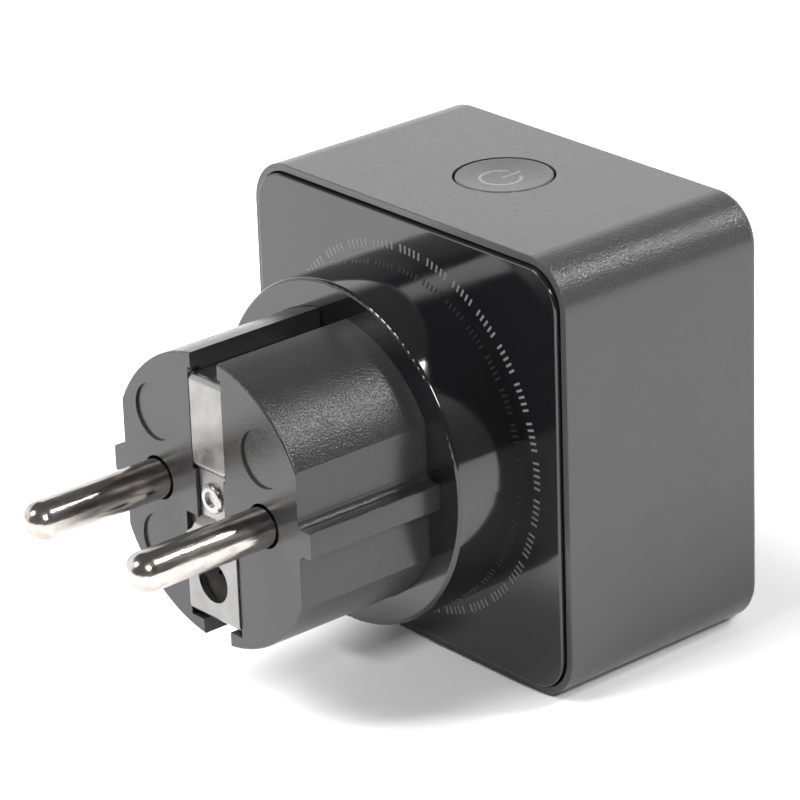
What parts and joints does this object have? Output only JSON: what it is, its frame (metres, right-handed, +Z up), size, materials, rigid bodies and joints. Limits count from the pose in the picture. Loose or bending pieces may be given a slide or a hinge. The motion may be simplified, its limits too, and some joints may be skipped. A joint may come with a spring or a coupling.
{
  "type": "smart plug",
  "caption": "Square smart plug adaptor with an earthed plug on a round neck, a recessed earthed socket and a round push button on top.",
  "frame": {"origin": "centre of the plug's contact face, midway between its two pins", "axes": "+Z up (the button is on top), -Y the way the pins point, +Y out of the socket, +X right seen from the socket's back"},
  "size_m": [0.0546, 0.0797, 0.0546],
  "materials": {
    "housing": "fine spark-eroded texture, matte",
    "plug_plastic": "fine texture on the sides, satin on the contact face",
    "gloss_black": "polished",
    "nickel": "nickel-plated brass, softly polished",
    "button": "matte",
    "light_guide": "translucent white",
    "inner_black": "plain moulded",
    "socket_plastic": "satin",
    "shutter_plastic": "satin",
    "contact_brass": "stamped strip",
    "spring_steel": "spring strip and wire",
    "screw_steel": "zinc plated",
    "board": "solder mask",
    "relay_case": "moulded cover",
    "copper_wire": "enamelled winding",
    "soft_iron": "plated iron",
    "capacitor_film": "moulded box",
    "capacitor_can": "sleeved can",
    "varistor_blue": "epoxy dipped",
    "resistor": "cement coated",
    "ferrite": "sintered",
    "shield": "tinned sheet",
    "cable": "flexible film",
    "light_lens": "clear epoxy"
  },
  "bodies": {
    "base": {"plug_body": "plug_plastic", "pin_left": "nickel", "pin_right": "nickel", "pin_carrier": "inner_black", "carrier_screws": "screw_steel", "earth_strip": "nickel", "earth_rivet": "nickel", "earth_pin_contact": "nickel", "neutral_strap": "contact_brass", "line_strap": "contact_brass", "back_plate": "gloss_black", "outer_housing": "housing", "socket_cup": "socket_plastic", "socket_floor": "socket_plastic", "socket_screws": "screw_steel", "contact_carrier": "inner_black", "carrier_fixings": "screw_steel", "shutter_spring": "spring_steel", "neutral_contact": "contact_brass", "line_contact": "contact_brass", "earth_link_top": "nickel", "earth_link_bottom": "nickel", "main_board": "board", "neck_fixings": "screw_steel", "control_board": "board", "control_screws": "screw_steel", "header_body": "inner_black", "header_pins": "contact_brass", "relay_case": "relay_case", "relay_base": "relay_case", "relay_core": "soft_iron", "relay_bobbin": "inner_black", "relay_coil": "copper_wire", "relay_yoke": "soft_iron", "relay_fixed_contact": "contact_brass", "filter_capacitor": "capacitor_film", "varistor": "varistor_blue", "fuse_resistor": "resistor", "current_shunt": "spring_steel", "transformer_core": "ferrite", "transformer_coil": "copper_wire", "smoothing_capacitors": "capacitor_can", "radio_board": "board", "radio_shield": "shield", "button_board": "board", "tact_switch_body": "inner_black", "status_light": "light_lens", "button_cable": "cable"},
    "button": {"button_cap": "button", "button_light_guide": "light_guide"},
    "switch_plunger": {"tact_switch_plunger": "inner_black"},
    "shutter": {"shutter": "shutter_plastic"},
    "clip_top": {"earth_clip_top": "nickel"},
    "clip_bottom": {"earth_clip_bottom": "nickel"},
    "armature": {"relay_armature": "soft_iron"}
  },
  "joints": [
    {"name": "button_press", "type": "slide", "parent": "base", "child": "button", "axis": [0, 0, -1], "range_m": [0, 0.0003], "stiffness_N_per_m": 3000},
    {"name": "plunger_press", "type": "slide", "parent": "base", "child": "switch_plunger", "axis": [0, 0, -1], "range_m": [0, 0.0003]},
    {"name": "shutter_turn", "type": "hinge", "parent": "base", "child": "shutter", "pos_m": [0, 0.0402, 0], "axis": [0, 1, 0], "range_deg": [0, 38], "stiffness_Nm_per_rad": 0.004, "springref_deg": -11.46, "deforming": ["shutter_spring"]},
    {"name": "clip_top_flex", "type": "hinge", "parent": "base", "child": "clip_top", "pos_m": [0, 0.0415, 0.0174], "axis": [1, 0, 0], "range_deg": [0, 3.2], "stiffness_Nm_per_rad": 0.4},
    {"name": "clip_bottom_flex", "type": "hinge", "parent": "base", "child": "clip_bottom", "pos_m": [0, 0.0415, -0.0174], "axis": [-1, 0, 0], "range_deg": [0, 3.2], "stiffness_Nm_per_rad": 0.4},
    {"name": "armature_pull", "type": "hinge", "parent": "base", "child": "armature", "pos_m": [-0.0082, 0.0112, 0.00715], "axis": [0, 0, 1], "range_deg": [0, 3], "stiffness_Nm_per_rad": 0.03, "springref_deg": -1.15}
  ],
  "couplings": [
    {"joint": "plunger_press", "follows": "button_press", "ratio": 1}
  ]
}
